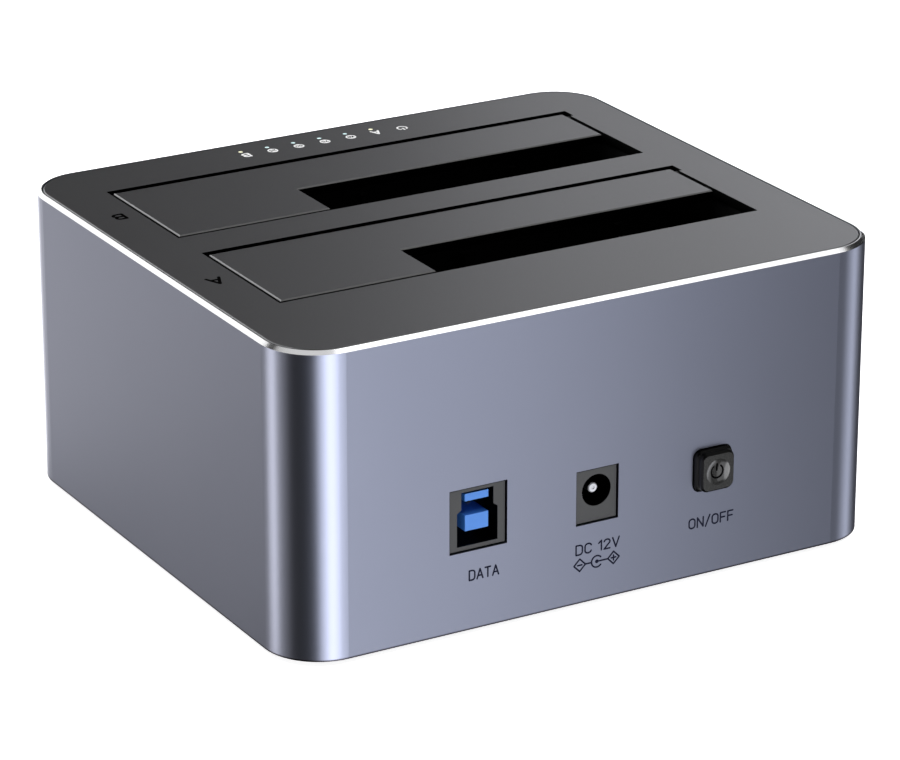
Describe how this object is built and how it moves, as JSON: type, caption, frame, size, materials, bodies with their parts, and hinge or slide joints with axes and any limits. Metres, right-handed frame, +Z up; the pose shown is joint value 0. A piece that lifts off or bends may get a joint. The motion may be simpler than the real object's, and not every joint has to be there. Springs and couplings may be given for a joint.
{
  "type": "hard drive docking station",
  "caption": "Upright dock for bare hard drives: aluminium sleeve, dark deck with sprung L-shaped flaps over the bays, data port, power inlet and push buttons.",
  "frame": {"origin": "on the table, under the middle of the housing", "axes": "+X to the right seen from the front, +Y from the front with its lamps to the rear with its ports, +Z up"},
  "size_m": [0.128, 0.1184, 0.061],
  "materials": {
    "anodised_aluminium": "fine blasted, anodised, bright cut edge",
    "deck_plastic": "fine grained",
    "black_plastic": "plain moulded",
    "foot_rubber": "matt",
    "steel": "bright",
    "board_green": "solder resist",
    "contact_gold": "plated",
    "port_grey": "moulded",
    "insert_blue": "moulded",
    "button_plastic": "polished",
    "white_plastic": "moulded",
    "lamp_white": "clear filled",
    "guide_warm": "clear, polished end",
    "guide_cool": "clear, polished end",
    "ferrite": "sintered",
    "can_aluminium": "drawn"
  },
  "bodies": {
    "dock": {"housing": "anodised_aluminium", "top_panel": "deck_plastic", "base_cover": "black_plastic", "feet": "foot_rubber", "front_flap_pin": "steel", "rear_flap_pin": "steel", "front_flap_spring": "steel", "rear_flap_spring": "steel", "front_drive_well": "black_plastic", "rear_drive_well": "black_plastic", "main_board": "board_green", "front_sata_socket": "black_plastic", "rear_sata_socket": "black_plastic", "front_sata_contacts": "contact_gold", "rear_sata_contacts": "contact_gold", "usb_shell": "port_grey", "usb_tongue": "insert_blue", "usb_contacts": "contact_gold", "dc_jack_body": "port_grey", "dc_jack_pin": "steel", "dc_jack_contact": "steel", "power_switch": "black_plastic", "power_switch_spring": "steel", "clone_switch": "black_plastic", "lamp_board": "board_green", "lamp_chips": "lamp_white", "drive_light_guides": "guide_warm", "progress_light_guides": "guide_cool", "ribbon_cable": "white_plastic", "ribbon_sockets": "white_plastic", "bridge_chip": "black_plastic", "crystal": "can_aluminium", "regulator_coils": "ferrite", "capacitors": "can_aluminium", "base_screws": "steel", "board_screws": "steel", "well_screws": "steel", "lamp_board_screws": "steel"},
    "front_flap": {"front_flap": "deck_plastic"},
    "rear_flap": {"rear_flap": "deck_plastic"},
    "power_button": {"power_button": "button_plastic", "power_switch_plunger": "white_plastic"},
    "clone_button": {"clone_button": "button_plastic", "clone_switch_stem": "white_plastic"}
  },
  "joints": [
    {"name": "front_flap_hinge", "type": "hinge", "parent": "dock", "child": "front_flap", "pos_m": [0, -0.04, 0.0592], "axis": [-1, 0, 0], "range_deg": [0, 88], "stiffness_Nm_per_rad": 0.004, "springref_deg": -34.38, "deforming": ["front_flap_spring"]},
    {"name": "rear_flap_hinge", "type": "hinge", "parent": "dock", "child": "rear_flap", "pos_m": [0, 0.0011, 0.0592], "axis": [-1, 0, 0], "range_deg": [0, 88], "stiffness_Nm_per_rad": 0.004, "springref_deg": -34.38, "deforming": ["rear_flap_spring"]},
    {"name": "power_button_press", "type": "slide", "parent": "dock", "child": "power_button", "axis": [0, -1, 0], "range_m": [0, 0.0018], "stiffness_N_per_m": 400, "springref_m": -0.0015, "deforming": ["power_switch_spring"]},
    {"name": "clone_button_press", "type": "slide", "parent": "dock", "child": "clone_button", "axis": [0, 1, 0], "range_m": [0, 0.0005], "stiffness_N_per_m": 2000, "springref_m": -0.0002}
  ]
}
